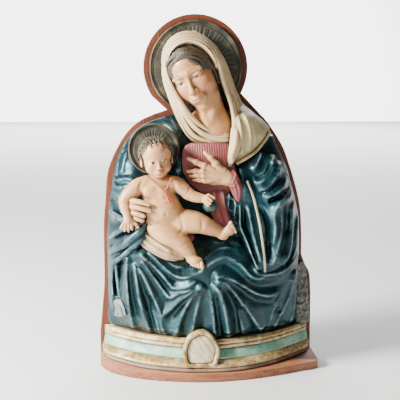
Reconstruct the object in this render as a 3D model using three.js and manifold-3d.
// A painted and gilt high relief of a seated Madonna and Child, on a backboard cut to its outline.
// Millimetres, +Z up, +X to the viewer's right, the front looks along -Y. The origin is the middle of
// the footprint, on the surface that the plinth board stands on.
import * as THREE from "three";
import { mergeVertices } from "three/addons/utils/BufferGeometryUtils.js";
import Module from "manifold-3d";

const wasm = await Module();
wasm.setup();

// ---------------------------------------------------------------- driving sizes
const HEIGHT = 820; // top of the backboard
const HALF_WIDTH = 258; // half of the backboard's foot and of the plinth board
const PROJECTION = 158; // the plinth board's front, measured from the board's face
const BOARD = 18; // thickness of the backboard
const BATTEN = 20; // thickness of the battens behind it
const FACE = (PROJECTION - BOARD - BATTEN) / 2; // y of the backboard's face
const GAP = 0.35; // clearance that one piece leaves round another
const FINEST = 0.12; // corners flatter than this are smoothed away

// Levels of the base, from the surface up.
const PLINTH_TOP = 19;
const FOOT_TOP = 28;
const LOWER_MOULDING_TOP = 45;
const FRIEZE_TOP = 67;
const BASE_TOP = 87;

// The two halos: centre across and up, and radius.
const LARGE_HALO = { x: -26, z: 699, radius: 108 };
const SMALL_HALO = { x: -124, z: 516, radius: 58 };

// The planks' joints and the hangers.
const LEFT_JOINT = -150;
const RIGHT_JOINT = 112;
const HANGER_X = 118;
const HANGER_AXIS_Z = 470;
const RING_WIRE = 2;
const RING_WIDTH = 28;
const RING_DROP = 24;
const BARREL_BORE = RING_WIRE + 0.45;
const BARREL_RADIUS = 4.4;
const HANGER_AXIS_DEPTH = -(BOARD + BARREL_RADIUS + GAP);
const STRAP_WIDTH = 16;
const STRAP_LENGTH = 44;
const STRAP_THICKNESS = 1.4;

// ---------------------------------------------------------------- finishes
const WOOD = { color: 0xa8644a, roughness: 0.6, metalness: 0 };
const GILT = { color: 0xc9b27a, roughness: 0.45, metalness: 0.5 };
const GREEN = { color: 0x7fb79c, roughness: 0.5, metalness: 0 };
const FOOT_BROWN = { color: 0x6d5a4c, roughness: 0.6, metalness: 0 };
const CLOAK = { color: 0x1f4650, roughness: 0.35, metalness: 0 };
const LINING = { color: 0xa9a89a, roughness: 0.5, metalness: 0 };
const STONE = { color: 0x7d7d75, roughness: 0.7, metalness: 0 };
const PINK = { color: 0xb06a6a, roughness: 0.45, metalness: 0 };
const VEIL = { color: 0xd8c9a8, roughness: 0.5, metalness: 0 };
const CAPE = { color: 0xc4bb98, roughness: 0.5, metalness: 0 };
const FLESH = { color: 0xd8b08c, roughness: 0.4, metalness: 0 };
const CHILD_FLESH = { color: 0xe6c6a6, roughness: 0.4, metalness: 0 };
const HAIR = { color: 0x6f6656, roughness: 0.5, metalness: 0 };
const HALO = { color: 0x7a775f, roughness: 0.5, metalness: 0.3 };
const CORAL = { color: 0xb8402f, roughness: 0.35, metalness: 0 };
const CREAM = { color: 0xd9c2a2, roughness: 0.5, metalness: 0 };
const STEEL = { color: 0x8c8a86, roughness: 0.4, metalness: 1 };

// ---------------------------------------------------------------- small tools
// A point from its place across, its depth in front of the board's face and its height.
const at = (x, depth, z) => new THREE.Vector3(x, FACE - depth, z);

// A function that joins [position, value] pairs with straight lines.
function profile(pairs) {
  return (position) => {
    if (position <= pairs[0][0]) return pairs[0][1];
    for (let i = 1; i < pairs.length; i++) {
      const [p0, v0] = pairs[i - 1];
      const [p1, v1] = pairs[i];
      if (position <= p1) return v0 + ((v1 - v0) * (position - p0)) / (p1 - p0);
    }
    return pairs[pairs.length - 1][1];
  };
}

// A closed three.js geometry as a manifold-3d solid, with its faces pointing out.
function solidOf(geometry) {
  const bare = geometry.index ? geometry.toNonIndexed() : geometry.clone();
  bare.deleteAttribute("normal");
  bare.deleteAttribute("uv");
  const merged = mergeVertices(bare, 1e-3);
  const corners = merged.index.array;
  const whole = [];
  for (let i = 0; i < corners.length; i += 3) {
    const [a, b, c] = [corners[i], corners[i + 1], corners[i + 2]];
    if (a !== b && b !== c && c !== a) whole.push(a, b, c);
  }
  const vertProperties = merged.attributes.position.array;
  const made = (triVerts) => new wasm.Manifold(new wasm.Mesh({ numProp: 3, vertProperties, triVerts }));
  const solid = made(new Uint32Array(whole));
  return solid.volume() > 0 ? solid : made(new Uint32Array(whole.reverse()));
}

// A grid of points, rows by columns, as the indices of two triangles for each of its cells.
function gridFaces(index, rows, columns, flip) {
  const faces = [];
  for (let r = 0; r < rows; r++) {
    for (let c = 0; c < columns; c++) {
      const [a, b, d, e] = [index(r, c), index(r, c + 1), index(r + 1, c), index(r + 1, c + 1)];
      faces.push(...(flip ? [a, d, b, b, d, e] : [a, b, d, b, e, d]));
    }
  }
  return faces;
}

function geometryFrom(points, faces) {
  const positions = new Float32Array(points.length * 3);
  points.forEach((point, i) => point.toArray(positions, i * 3));
  const geometry = new THREE.BufferGeometry();
  geometry.setAttribute("position", new THREE.BufferAttribute(positions, 3));
  geometry.setIndex(faces);
  return geometry;
}

// Rings of equal count joined into a closed skin. The first ring is seen clockwise along the way.
function skin(rings, closedLoop = false) {
  const sides = rings[0].length;
  const points = rings.flat();
  const count = rings.length;
  const index = (r, c) => (r % count) * sides + (c % sides);
  const faces = gridFaces(index, closedLoop ? count : count - 1, sides, false);
  if (!closedLoop) {
    for (const [ring, first] of [[rings[0], true], [rings[count - 1], false]]) {
      const centre = new THREE.Vector3();
      ring.forEach((point) => centre.add(point));
      points.push(centre.divideScalar(sides));
      const hub = points.length - 1;
      const base = first ? 0 : (count - 1) * sides;
      for (let c = 0; c < sides; c++) {
        const next = base + ((c + 1) % sides);
        faces.push(...(first ? [hub, next, base + c] : [hub, base + c, next]));
      }
    }
  }
  return geometryFrom(points, faces);
}

// A round ring of points about a centre, in the plane of two unit vectors.
function ringOf(centre, u, v, radius, sides) {
  const ring = [];
  for (let i = 0; i < sides; i++) {
    const angle = (i / sides) * 2 * Math.PI;
    const point = centre.clone();
    point.addScaledVector(u, radius * Math.cos(angle));
    point.addScaledVector(v, radius * Math.sin(angle));
    ring.push(point);
  }
  return ring;
}

// A limb, finger or rolled fold: a round-ended tube through [x, depth, z, radius] stations.
function limb(stations, { sides = 8, grow = 0 } = {}) {
  const curve = new THREE.CatmullRomCurve3(stations.map(([x, d, z]) => at(x, d, z)));
  const last = stations.length - 1;
  const side = new THREE.Vector3(0, 1, 0);
  const rings = [];
  const addRing = (centre, along, radius) => {
    const u = new THREE.Vector3().crossVectors(side, along).normalize();
    const v = new THREE.Vector3().crossVectors(along, u);
    rings.push(ringOf(centre, v, u, radius, sides));
  };
  const round = (station, direction) => {
    const along = curve.getTangent(station / last);
    const radius = stations[station][3] + grow;
    const centre = curve.getPoint(station / last).addScaledVector(along, direction * radius * 0.8);
    addRing(centre, along, radius * 0.6);
  };
  round(0, -1);
  stations.forEach(([, , , radius], i) => {
    addRing(curve.getPoint(i / last), curve.getTangent(i / last), radius + grow);
  });
  round(last, 1);
  return solidOf(skin(rings.map((ring) => ring.reverse())));
}

// Several limbs joined into one solid.
const limbs = (grow, ...routes) =>
  routes.map((route) => limb(route, { grow, sides: 6 })).reduce((whole, next) => whole.add(next));

// A rounded mass: half-sizes across, in depth and up, leaned sideways by tilt degrees.
function mass([x, depth, z], [rx, rd, rz], { tilt = 0, grow = 0, detail = 12 } = {}) {
  const sphere = new THREE.SphereGeometry(1, detail, Math.round(detail * 0.7));
  sphere.rotateX(Math.PI / 2);
  sphere.scale(rx + grow, rd + grow, rz + grow);
  sphere.rotateY(THREE.MathUtils.degToRad(tilt));
  const centre = at(x, depth, z);
  sphere.translate(centre.x, centre.y, centre.z);
  return solidOf(sphere);
}

// Carved drapery: levels of height, edges and front depth by height, and a back.
function drapery({ levels, columns = 8, left, right, front, back = 0 }, grow = 0) {
  const heights = levels.slice();
  heights[0] -= grow;
  heights[heights.length - 1] += grow;
  const points = [];
  for (const facing of [0, 1]) {
    heights.forEach((height, row) => {
      const z = levels[row];
      const x0 = left(z) - grow;
      const x1 = right(z) + grow;
      for (let c = 0; c <= columns; c++) {
        const share = c / columns;
        const x = x0 + (x1 - x0) * share;
        const depth = facing ? front(x, z, share) + grow : back - grow + GAP;
        points.push(at(x, depth, height));
      }
    });
  }
  const rows = levels.length - 1;
  const wide = columns + 1;
  const layer = wide * levels.length;
  const behind = (r, c) => r * wide + c;
  const before = (r, c) => layer + r * wide + c;
  const faces = [...gridFaces(behind, rows, columns, true), ...gridFaces(before, rows, columns, false)];
  const edge = (a0, a1, b0, b1) => faces.push(a0, a1, b0, a1, b1, b0);
  for (let c = 0; c < columns; c++) {
    edge(behind(0, c), behind(0, c + 1), before(0, c), before(0, c + 1));
    edge(before(rows, c), before(rows, c + 1), behind(rows, c), behind(rows, c + 1));
  }
  for (let r = 0; r < rows; r++) {
    edge(before(r, 0), before(r + 1, 0), behind(r, 0), behind(r + 1, 0));
    edge(behind(r, columns), behind(r + 1, columns), before(r, columns), before(r + 1, columns));
  }
  return solidOf(geometryFrom(points, faces));
}

// A flat plate cut to an outline in x and z, between two depths.
function plate(outline, backDepth, frontDepth, curveSegments = 12) {
  const depth = frontDepth - backDepth;
  const geometry = new THREE.ExtrudeGeometry(outline, { depth, bevelEnabled: false, curveSegments });
  geometry.rotateX(Math.PI / 2);
  geometry.translate(0, FACE - backDepth, 0);
  return solidOf(geometry);
}

function box(x0, x1, depth0, depth1, z0, z1) {
  const geometry = new THREE.BoxGeometry(x1 - x0, depth1 - depth0, z1 - z0);
  geometry.translate((x0 + x1) / 2, FACE - (depth0 + depth1) / 2, (z0 + z1) / 2);
  return solidOf(geometry);
}

// A turned piece: [radius, depth] profile about a line through (x, z) towards the front.
function turned(x, z, outline, segments = 8) {
  const points = outline.map(([radius, depth]) => new THREE.Vector2(radius, depth));
  const geometry = new THREE.LatheGeometry(points, segments);
  geometry.scale(1, -1, 1);
  geometry.translate(x, FACE, z);
  return solidOf(geometry);
}

// ---------------------------------------------------------------- assembly
const relief = new THREE.Group();
const cutters = [];

// Adds one piece. It gives way, with a clearance, to the pieces added before it whose names match.
function add(name, finish, make, { yieldsTo = /./ } = {}) {
  let solid = make(0);
  for (const cutter of cutters) {
    if (yieldsTo.test(cutter.name)) solid = solid.subtract(cutter.solid);
  }
  solid = solid.simplify(FINEST);
  const bodies = solid.decompose().sort((a, b) => b.volume() - a.volume());
  const mesh = bodies[0].getMesh();
  const geometry = new THREE.BufferGeometry();
  geometry.setAttribute("position", new THREE.BufferAttribute(mesh.vertProperties.slice(), 3));
  geometry.setIndex(new THREE.BufferAttribute(new Uint32Array(mesh.triVerts), 1));
  geometry.computeVertexNormals();
  const part = new THREE.Mesh(geometry, new THREE.MeshStandardMaterial(finish));
  part.name = name;
  relief.add(part);
  cutters.push({ name, solid: make(GAP) });
}

// ---------------------------------------------------------------- fixings
// A countersunk wood screw: its head lies in a surface at headDepth, its point is at pointDepth.
function screw(x, z, headDepth, pointDepth, grow) {
  const shaft = 2.2 + grow;
  const head = 4.4 + grow;
  const outline = [
    [0, headDepth - grow],
    [head, headDepth - grow],
    [shaft, headDepth + 3],
    [shaft, pointDepth - 4],
    [0, pointDepth + grow],
  ];
  return turned(x, z, outline);
}

const backOfBoard = -BOARD;
const backOfBatten = -(BOARD + BATTEN);
const reliefScrews = [[-30, 560], [-120, 250], [110, 250]];
reliefScrews.forEach(([x, z], i) =>
  add(`relief_screw_${i + 1}`, STEEL, (grow) => screw(x, z, backOfBoard, 28, grow)),
);
const battenScrews = [[-195, 150], [190, 150], [-128, 555], [110, 555]];
battenScrews.forEach(([x, z], i) =>
  add(`batten_screw_${i + 1}`, STEEL, (grow) => screw(x, z, backOfBatten, -5, grow)),
);
for (const [i, x] of [-150, 150].entries()) {
  add(`plinth_screw_${i + 1}`, STEEL, (grow) => screw(x, PLINTH_TOP / 2, backOfBoard, 30, grow));
}
const pinOutline = (radius, from, to) => [[0, from], [radius, from], [radius, to], [0, to]];
add("large_halo_pin", WOOD, (grow) =>
  turned(LARGE_HALO.x, LARGE_HALO.z + 20, pinOutline(4 + grow, -12 - grow, 6 + grow)),
);

// ---------------------------------------------------------------- hangers on the back
const axisY = FACE - HANGER_AXIS_DEPTH;
// The strap folds round the ring's bar: a section in y and z, carried along x.
function hangerStrap(x, grow) {
  const back = FACE + BOARD + GAP;
  const section = new THREE.Shape();
  const top = HANGER_AXIS_Z + STRAP_LENGTH;
  section.moveTo(back - grow, top + grow);
  section.absarc(axisY, HANGER_AXIS_Z, BARREL_RADIUS + grow, Math.PI, Math.PI * 2.3, false);
  section.lineTo(back + STRAP_THICKNESS + grow, HANGER_AXIS_Z + 6);
  section.lineTo(back + STRAP_THICKNESS + grow, top + grow);
  if (grow === 0) {
    const bore = new THREE.Path();
    bore.absarc(axisY, HANGER_AXIS_Z, BARREL_BORE, 0.1, Math.PI * 2 + 0.1, true);
    section.holes.push(bore);
  }
  const depth = STRAP_WIDTH + 2 * grow;
  const geometry = new THREE.ExtrudeGeometry(section, { depth, bevelEnabled: false, curveSegments: 10 });
  geometry.applyMatrix4(new THREE.Matrix4().set(0, 0, 1, 0, 1, 0, 0, 0, 0, 1, 0, 0, 0, 0, 0, 1));
  geometry.translate(x - depth / 2, 0, 0);
  return solidOf(geometry);
}
// The ring: a straight bar through the strap and a D below it, bent from one round wire.
function hangerRing(x, grow) {
  const half = RING_WIDTH / 2;
  const route = [[-half, 0], [-4, 0], [4, 0], [half, 0], [half, -RING_DROP + half]];
  for (const turn of [0.25, 0.5, 0.75]) {
    const angle = -turn * Math.PI;
    route.push([half * Math.cos(angle), -RING_DROP + half + half * Math.sin(angle)]);
  }
  route.push([-half, -RING_DROP + half]);
  const out = new THREE.Vector3(0, 1, 0);
  const count = route.length;
  const rings = route.map(([px, pz], i) => {
    const [ax, az] = route[(i + count - 1) % count];
    const [bx, bz] = route[(i + 1) % count];
    const before = new THREE.Vector2(px - ax, pz - az).normalize();
    const after = new THREE.Vector2(bx - px, bz - pz).normalize();
    const along = before.clone().add(after).normalize();
    const mitre = 1 / Math.max(0.6, along.dot(after));
    const across = new THREE.Vector3(-along.y * mitre, 0, along.x * mitre);
    const centre = new THREE.Vector3(x + px, axisY, HANGER_AXIS_Z + pz);
    return ringOf(centre, across, out, RING_WIRE + grow, 8);
  });
  return solidOf(skin(rings, true));
}
for (const [side, x] of [["left", -HANGER_X], ["right", HANGER_X]]) {
  const screwZ = HANGER_AXIS_Z + STRAP_LENGTH - 10;
  const strapFace = -(BOARD + STRAP_THICKNESS + GAP);
  add(`hanger_screw_${side}`, STEEL, (grow) => screw(x, screwZ, strapFace, -6, grow));
  add(`hanger_strap_${side}`, STEEL, (grow) => hangerStrap(x, grow));
  add(`hanger_ring_${side}`, STEEL, (grow) => hangerRing(x, grow), { yieldsTo: /^$/ });
}

// ---------------------------------------------------------------- base
// Plan outlines, [across, depth], of the plinth board, of the base's foot and of its top edge.
const PLINTH_PLAN = [
  [-258, 1], [-252, 50], [-218, 96], [-151, 133], [-70, 153], [0, PROJECTION],
  [70, 152], [141, 134], [205, 110], [HALF_WIDTH, 84], [HALF_WIDTH, 1],
];
const FOOT_PLAN = [
  [-254, 1], [-246, 32], [-220, 68], [-151, 118], [-70, 145], [0, 151],
  [70, 144], [142, 112], [205, 66], [243, 30], [254, 1],
];
const TOP_PLAN = [
  [-246, 1], [-236, 14], [-205, 38], [-151, 75], [-70, 113], [0, 127],
  [70, 114], [142, 84], [198, 45], [236, 14], [246, 1],
];
const mixPlan = (share) =>
  FOOT_PLAN.map(([x, d], i) => [x + (TOP_PLAN[i][0] - x) * share, d + (TOP_PLAN[i][1] - d) * share]);
// Carried through a smooth curve, except for the last stretch, which runs straight back to the board.
function planRing(plan, z, grow) {
  const smooth = new THREE.SplineCurve(plan.map(([x, d]) => new THREE.Vector2(x, d)));
  return smooth.getPoints(16).map(({ x, y }) => {
    const reach = Math.hypot(x, y);
    const depth = y < 2 ? 0.3 - grow : y + (grow * y) / reach;
    const across = THREE.MathUtils.clamp(x, -HALF_WIDTH, HALF_WIDTH);
    return at(across + (grow * x) / reach, depth, z);
  });
}
// A moulding: [height, share from the foot's plan to the top edge's plan] levels.
function moulding(levels, grow) {
  const rings = levels.map(([z, share], i) => {
    const lift = i === 0 ? -grow : i === levels.length - 1 ? grow : 0;
    return planRing(mixPlan(share), z + lift, grow).reverse();
  });
  return solidOf(skin(rings));
}
// How far the top edge stands out at a place across.
const topEdgeDepth = profile(TOP_PLAN);

const CARTOUCHE = { x: -22, z: 66, halfWidth: 42, rise: 46, drop: 36, lean: 8 };
// An arch on two straight sides that draw in a little to a flat foot.
function archPath(path, scale) {
  const { halfWidth, rise, drop } = CARTOUCHE;
  path.moveTo(-halfWidth * 0.9 * scale, -drop * scale);
  path.lineTo(halfWidth * 0.9 * scale, -drop * scale);
  path.absellipse(0, 0, halfWidth * scale, rise * scale, 0, Math.PI, false, 0);
  return path;
}
function cartouchePiece(scale, back, front, hole) {
  const shape = archPath(new THREE.Shape(), scale);
  if (hole) shape.holes.push(archPath(new THREE.Path(), hole));
  const options = { depth: front - back, bevelEnabled: false, curveSegments: 12 };
  const geometry = new THREE.ExtrudeGeometry(shape, options);
  geometry.rotateX(Math.PI / 2);
  geometry.translate(0, -back, 0);
  geometry.rotateX(THREE.MathUtils.degToRad(-CARTOUCHE.lean));
  geometry.translate(CARTOUCHE.x, FACE - 136, CARTOUCHE.z);
  return solidOf(geometry);
}
add("cartouche_field", GILT, (grow) => cartouchePiece(0.74 + grow * 0.025, -8 - grow, 9 + grow));
add("cartouche_frame", GILT, (grow) =>
  grow ? cartouchePiece(1.01, -8 - grow, 13 + grow) : cartouchePiece(1, -8, 13, 0.76),
);
add("plinth_board", WOOD, (grow) => {
  const rings = [0 - grow, PLINTH_TOP + grow - 0.3].map((z) => planRing(PLINTH_PLAN, z, grow).reverse());
  return solidOf(skin(rings));
});
add("base_foot", FOOT_BROWN, (grow) =>
  moulding([[PLINTH_TOP, 0.06], [PLINTH_TOP + 5, 0], [FOOT_TOP - 0.4, 0.04]], grow),
);
add("base_lower_moulding", GILT, (grow) =>
  moulding([[FOOT_TOP, 0.1], [33, 0.02], [39, 0.14], [LOWER_MOULDING_TOP - 0.4, 0.5]], grow),
);
add("base_frieze", GREEN, (grow) =>
  moulding([[LOWER_MOULDING_TOP, 0.54], [FRIEZE_TOP - 0.4, 0.92]], grow),
);
add("base_upper_moulding", GILT, (grow) =>
  moulding([[FRIEZE_TOP, 0.84], [72, 0.8], [77, 0.88], [82, 0.86], [BASE_TOP, 1]], grow),
);

// ---------------------------------------------------------------- the Child
add("ball", GREEN, (grow) => mass([-2, 132, 396], [16, 16, 16], { grow, detail: 12 }));
add("coral_drop", CORAL, (grow) =>
  limb([[-96, 155, 420, 2.6], [-88, 154, 404, 3.6]], { grow, sides: 6 }),
);
add("coral_string", CORAL, (grow) => {
  const left = [[-136, 138, 459, 1.9], [-119, 151, 445, 1.9], [-102, 154, 431, 1.9]];
  const right = [[-102, 154, 431, 1.9], [-91, 151, 446, 1.9], [-86, 142, 458, 1.9]];
  return limb(left, { grow, sides: 5 }).add(limb(right, { grow, sides: 5 }));
});
add("child_head", CHILD_FLESH, (grow) =>
  mass([-115, 116, 499], [34, 37, 43], { tilt: -6, grow }),
);
add("child_torso", CHILD_FLESH, (grow) =>
  limb([[-114, 112, 456, 17], [-120, 113, 430, 37], [-108, 112, 388, 39], [-92, 112, 350, 38]], {
    grow,
    sides: 12,
  }),
);
add("child_right_arm", CHILD_FLESH, (grow) =>
  limbs(
    grow,
    [[-160, 118, 438, 19], [-187, 124, 408, 15], [-181, 134, 384, 11.5], [-179, 137, 366, 12]],
    [[-188, 138, 366, 6], [-196, 139, 356, 5]],
    [[-178, 138, 362, 7], [-181, 139, 350, 5]],
  ),
);
add("child_left_arm", CHILD_FLESH, (grow) =>
  limb([[-78, 118, 444, 19], [-54, 126, 424, 15], [-34, 132, 416, 12], [-14, 138, 416, 10]], { grow }),
);
add("child_right_leg", CHILD_FLESH, (grow) =>
  limb(
    [[-118, 120, 340, 32], [-88, 127, 326, 28], [-62, 132, 310, 21], [-45, 134, 288, 14], [-28, 140, 268, 11]],
    { grow },
  ),
);
add("child_left_leg", CHILD_FLESH, (grow) =>
  limb(
    [[-80, 116, 356, 26], [-45, 128, 358, 26], [-13, 130, 356, 21], [12, 128, 340, 16], [28, 128, 330, 12],
      [46, 134, 345, 9]],
    { grow },
  ),
);
add("child_hair", HAIR, (grow) => mass([-118, 108, 508], [39, 39, 46], { tilt: -6, grow }).subtract(
  mass([-112, 160, 484], [40, 34, 42], {}),
));

// ---------------------------------------------------------------- the Madonna's hands
add("supporting_hand", FLESH, (grow) =>
  limbs(
    grow,
    [[-168, 140, 408, 6], [-150, 148, 405, 6], [-136, 151, 401, 5.5]],
    [[-168, 140, 395, 6.5], [-148, 150, 391, 6.5], [-134, 152, 386, 5.5]],
    [[-164, 142, 379, 7], [-145, 150, 372, 6.5]],
    [[-166, 130, 404, 8], [-164, 132, 380, 8]],
  ),
);
add("breast_hand", FLESH, (grow) =>
  limbs(
    grow,
    [[62, 106, 438, 16], [30, 112, 464, 18], [4, 114, 478, 15]],
    [[6, 116, 487, 8], [-24, 113, 493, 6.5], [-53, 108, 498, 5]],
    [[4, 118, 476, 8], [-26, 114, 480, 6.5], [-50, 110, 479, 5]],
    [[4, 118, 466, 8], [-22, 115, 468, 6.5], [-44, 111, 464, 5]],
    [[8, 117, 456, 8], [-14, 115, 456, 6], [-32, 112, 449, 5]],
    [[20, 112, 482, 9], [8, 111, 496, 7], [-2, 109, 507, 5]],
  ),
);
add("dress_cuff", PINK, (grow) =>
  limb([[50, 107, 448, 19], [64, 102, 424, 21], [66, 100, 402, 17]], { grow, sides: 10 }),
);

// ---------------------------------------------------------------- head, hair and veil
const HEAD_TILT = -26;
add("madonna_head", FLESH, (grow) =>
  mass([-38, 78, 670], [49, 54, 68], { tilt: HEAD_TILT, grow, detail: 14 }).add(
    limb([[-6, 66, 632, 34], [8, 58, 590, 36], [16, 52, 545, 42]], { grow, sides: 12 }),
  ),
);
add("madonna_hair", HAIR, (grow) =>
  mass([-42, 70, 676], [54, 51, 70], { tilt: HEAD_TILT, grow, detail: 14 }).subtract(
    mass([-22, 140, 640], [60, 62, 84], { tilt: HEAD_TILT }),
  ),
);
// The veil is a thick band round the face: a plate with the face's opening, domed in front.
function veilBand(grow) {
  const outer = [
    [-33, 775], [-64, 770], [-92, 752], [-107, 718], [-106, 685], [-91, 636], [-74, 600], [-57, 552],
    [-42, 538], [-12, 524], [50, 518], [62, 560], [78, 624], [63, 651], [52, 677], [42, 706], [24, 738],
    [-4, 764],
  ];
  const shape = new THREE.Shape(outer.map(([x, z]) => new THREE.Vector2(x, z)));
  const inner = [
    [-37, 745], [-78, 726], [-93, 700], [-80, 668], [-52, 618], [-26, 568], [-4, 554], [30, 551],
    [48, 558], [46, 590], [32, 645], [28, 690], [8, 724],
  ];
  if (grow === 0) shape.holes.push(new THREE.Path(inner.map(([x, z]) => new THREE.Vector2(x, z)).reverse()));
  return plate(shape, 9, 96 + grow).intersect(
    mass([-20, 6, 660], [140, 86, 170], { tilt: -14, detail: 16 }).add(
      mass([10, 30, 560], [90, 72, 60], {}),
    ),
  );
}
add("veil_band", VEIL, (grow) => veilBand(grow));
add("veil_end", VEIL, (grow) =>
  limb([[58, 84, 560, 9], [56, 92, 524, 11], [46, 95, 482, 6]], { grow }),
);
add("cape_edge", CREAM, (grow) =>
  limb([[62, 92, 487, 3.5], [84, 84, 499, 3.5], [114, 66, 520, 3.5], [142, 36, 547, 3.5]], {
    grow,
    sides: 6,
  }),
);
const capeLeft = profile([[488, 56], [520, 58], [560, 60], [618, 72]]);
const capeRight = profile([[488, 66], [500, 84], [520, 113], [545, 142], [560, 146], [593, 112], [618, 84]]);
const capeDepth = profile([[488, 92], [520, 88], [560, 80], [618, 50]]);
add("shoulder_cape", CAPE, (grow) =>
  drapery(
    {
      levels: [488, 500, 520, 545, 560, 593, 618],
      columns: 6,
      left: capeLeft,
      right: capeRight,
      front: (x, z, share) => 12 + (capeDepth(z) - 12) * Math.sqrt(1 - share ** 2 * 0.98),
    },
    grow,
  ),
);

// ---------------------------------------------------------------- dress and cushion
add("swaddling_cloth", CREAM, (grow) =>
  limb([[-150, 116, 316, 17], [-124, 124, 298, 18], [-96, 126, 284, 17], [-72, 124, 274, 12]], { grow }),
);
add("cushion", PINK, (grow) =>
  limb([[-150, 92, 330, 24], [-110, 96, 312, 26], [-64, 98, 306, 25], [-24, 98, 318, 20]], { grow }),
);
add("dress_bodice", PINK, (grow) =>
  drapery(
    {
      levels: [425, 445, 470, 500, 528],
      columns: 6,
      left: profile([[425, -24], [445, -48], [470, -60], [528, -56]]),
      right: profile([[425, 66], [470, 54], [528, 46]]),
      front: (x) => 92 - 10 * ((x + 2) / 56) ** 2,
    },
    grow,
  ),
);
add("dress_fall", PINK, (grow) =>
  drapery(
    {
      levels: [322, 350, 385, 424],
      columns: 4,
      left: profile([[322, 30], [385, -4], [424, -20]]),
      right: profile([[322, 66], [424, 62]]),
      front: (x, z, share) => 92 + 8 * Math.sin(share * Math.PI),
    },
    grow,
  ),
);

// ---------------------------------------------------------------- cloak
const trimLine = [[240, 127], [285, 122], [345, 113], [412, 97], [452, 78]];
add("cloak_gilt_edge", GILT, (grow) => {
  const route = trimLine.map(([z, x]) => [x, profile([[240, 116], [345, 114], [452, 108]])(z), z, 4]);
  return limb(route, { grow, sides: 6 });
});
add("turned_lining", LINING, (grow) =>
  limb([[-205, 64, 166, 9], [-205, 66, 148, 11], [-202, 60, 132, 7]], { grow }),
);
add("stone_seat", STONE, (grow) =>
  drapery(
    {
      levels: [88, 130, 180, 236],
      columns: 4,
      left: () => 216,
      right: profile([[88, 248], [160, 246], [236, 238]]),
      front: (x, z, share) => 14 + 12 * Math.sin(share * Math.PI) ** 0.5,
    },
    grow,
  ),
);
const sleeveLeft = profile([
  [238, 128], [285, 124], [345, 115], [412, 99], [452, 80], [470, 62], [488, 62], [520, 112], [547, 142],
]);
const sleeveRight = profile([[238, 216], [325, 220], [380, 216], [405, 208], [509, 172], [547, 153]]);
const sleeveDepth = profile([[238, 112], [345, 112], [412, 108], [452, 104], [488, 92], [520, 70], [547, 42]]);
add("cloak_sleeve", CLOAK, (grow) =>
  drapery(
    {
      levels: [238, 262, 285, 315, 345, 380, 412, 435, 452, 470, 488, 505, 520, 535, 547],
      columns: 8,
      left: sleeveLeft,
      right: sleeveRight,
      front: (x, z, share) => 14 + (sleeveDepth(z) - 14) * Math.sqrt(1 - share ** 2.4 * 0.99),
    },
    grow,
  ),
);
// The lap: its front swells from the base's top edge to the knees and falls back under the Child.
const lapCrest = profile([[88, 124], [150, 132], [200, 142], [238, 148], [262, 144], [300, 128], [346, 96]]);
function lapFront(x, z) {
  const across = x + 16;
  const side = Math.max(0, 1 - Math.abs(across / 238) ** (across < 0 ? 2.8 : 1.8));
  const swelling = 14 + (lapCrest(z) - 14) * Math.sqrt(side);
  const rise = THREE.MathUtils.smoothstep(z, 88, 160);
  return (topEdgeDepth(x) - 5) * (1 - rise) + swelling * rise;
}
add("cloak_lap", CLOAK, (grow) =>
  drapery(
    {
      levels: [88, 108, 130, 160, 190, 215, 234, 240, 262, 285, 315, 346],
      columns: 11,
      left: () => -188,
      right: profile([[88, 222], [234, 214], [240, 122], [346, 110]]),
      front: lapFront,
    },
    grow,
  ),
);
const cloakLeftEdge = profile([
  [88, -243], [204, -236], [311, -237], [409, -227], [482, -214], [521, -196], [552, -175], [580, -128],
]);
const cloakLeftInner = profile([
  [88, -189], [290, -189], [296, -60], [320, 36], [424, 0], [450, -44], [500, -58], [552, -56], [580, -80],
]);
const cloakLeftDepth = profile([[88, 60], [150, 84], [290, 92], [330, 98], [420, 84], [520, 66], [580, 26]]);
add("cloak_left_side", CLOAK, (grow) =>
  drapery(
    {
      levels: [88, 120, 160, 204, 250, 290, 320, 360, 409, 450, 482, 521, 552, 580],
      columns: 8,
      left: cloakLeftEdge,
      right: cloakLeftInner,
      front: (x, z, share) => 12 + (cloakLeftDepth(z) - 12) * Math.sin((share * 0.92 + 0.08) * (Math.PI / 2)),
    },
    grow,
  ).add(limb([[-150, 124, 340, 13 + grow], [-180, 116, 312, 17 + grow], [-206, 88, 268, 14 + grow]])),
);

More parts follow.
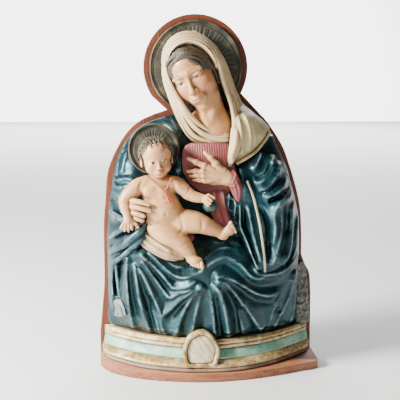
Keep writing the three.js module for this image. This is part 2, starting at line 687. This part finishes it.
// ---------------------------------------------------------------- halos
const haloOutline = (radius, back, face, rim) => [
  [0, back],
  [radius, back],
  [radius, rim],
  [radius - 5, rim],
  [radius - 8, face],
  [0, face],
];
add("large_halo", HALO, (grow) =>
  turned(LARGE_HALO.x, LARGE_HALO.z, haloOutline(LARGE_HALO.radius + grow, 0.3, 7 + grow, 10 + grow), 32),
);
add("small_halo", HALO, (grow) =>
  turned(SMALL_HALO.x, SMALL_HALO.z, haloOutline(SMALL_HALO.radius + grow, 74, 79 + grow, 82 + grow), 24),
);

// ---------------------------------------------------------------- backboard and battens
const FIXINGS = /screw|pin/;
for (const [name, z0, z1, x0, x1] of [
  ["lower_batten", 125, 175, -228, 222],
  ["upper_batten", 535, 575, -146, 128],
]) {
  add(name, WOOD, () => box(x0, x1, backOfBatten, backOfBoard - 0.3, z0, z1), { yieldsTo: FIXINGS });
}
// The outline runs up the left side, round the large halo and down the right side.
const LEFT_SIDE = [
  [-HALF_WIDTH, 70], [-251, 139], [-246, 202], [-245, 329], [-240, 388], [-235, 447], [-225, 482],
  [-206, 521], [-185, 552], [-158, 576], [-124, 592],
];
const RIGHT_SIDE = [
  [126, 592], [146, 570], [180, 517], [200, 465], [216, 413], [226, 365], [230, 310], [231, 254],
];
function boardOutline() {
  const headRadius = HEIGHT - LARGE_HALO.z;
  const point = ([x, z]) => new THREE.Vector2(x, z);
  const outline = new THREE.Shape();
  outline.moveTo(-HALF_WIDTH, 0);
  outline.lineTo(...LEFT_SIDE[0]);
  outline.splineThru(LEFT_SIDE.slice(1).map(point));
  outline.lineTo(-93, 602);
  for (let turn = 1.18; turn > -0.17; turn -= 0.056) {
    const angle = turn * Math.PI;
    const [dx, dz] = [headRadius * Math.cos(angle), headRadius * Math.sin(angle)];
    outline.lineTo(LARGE_HALO.x + dx, LARGE_HALO.z + dz);
  }
  outline.splineThru(RIGHT_SIDE.map(point));
  outline.splineThru([[240, 230], [252, 205], [256, 160]].map(point));
  outline.lineTo(HALF_WIDTH, 0);
  return outline;
}
for (const [name, x0, x1] of [
  ["backboard_middle", LEFT_JOINT + 0.2, RIGHT_JOINT - 0.2],
  ["backboard_left", -HALF_WIDTH - 1, LEFT_JOINT - 0.2],
  ["backboard_right", RIGHT_JOINT + 0.2, HALF_WIDTH + 1],
]) {
  const plank = () => plate(boardOutline(), -BOARD, 0, 3).intersect(box(x0, x1, -20, 2, -1, HEIGHT + 1));
  add(name, WOOD, plank, { yieldsTo: FIXINGS });
}

export default relief;
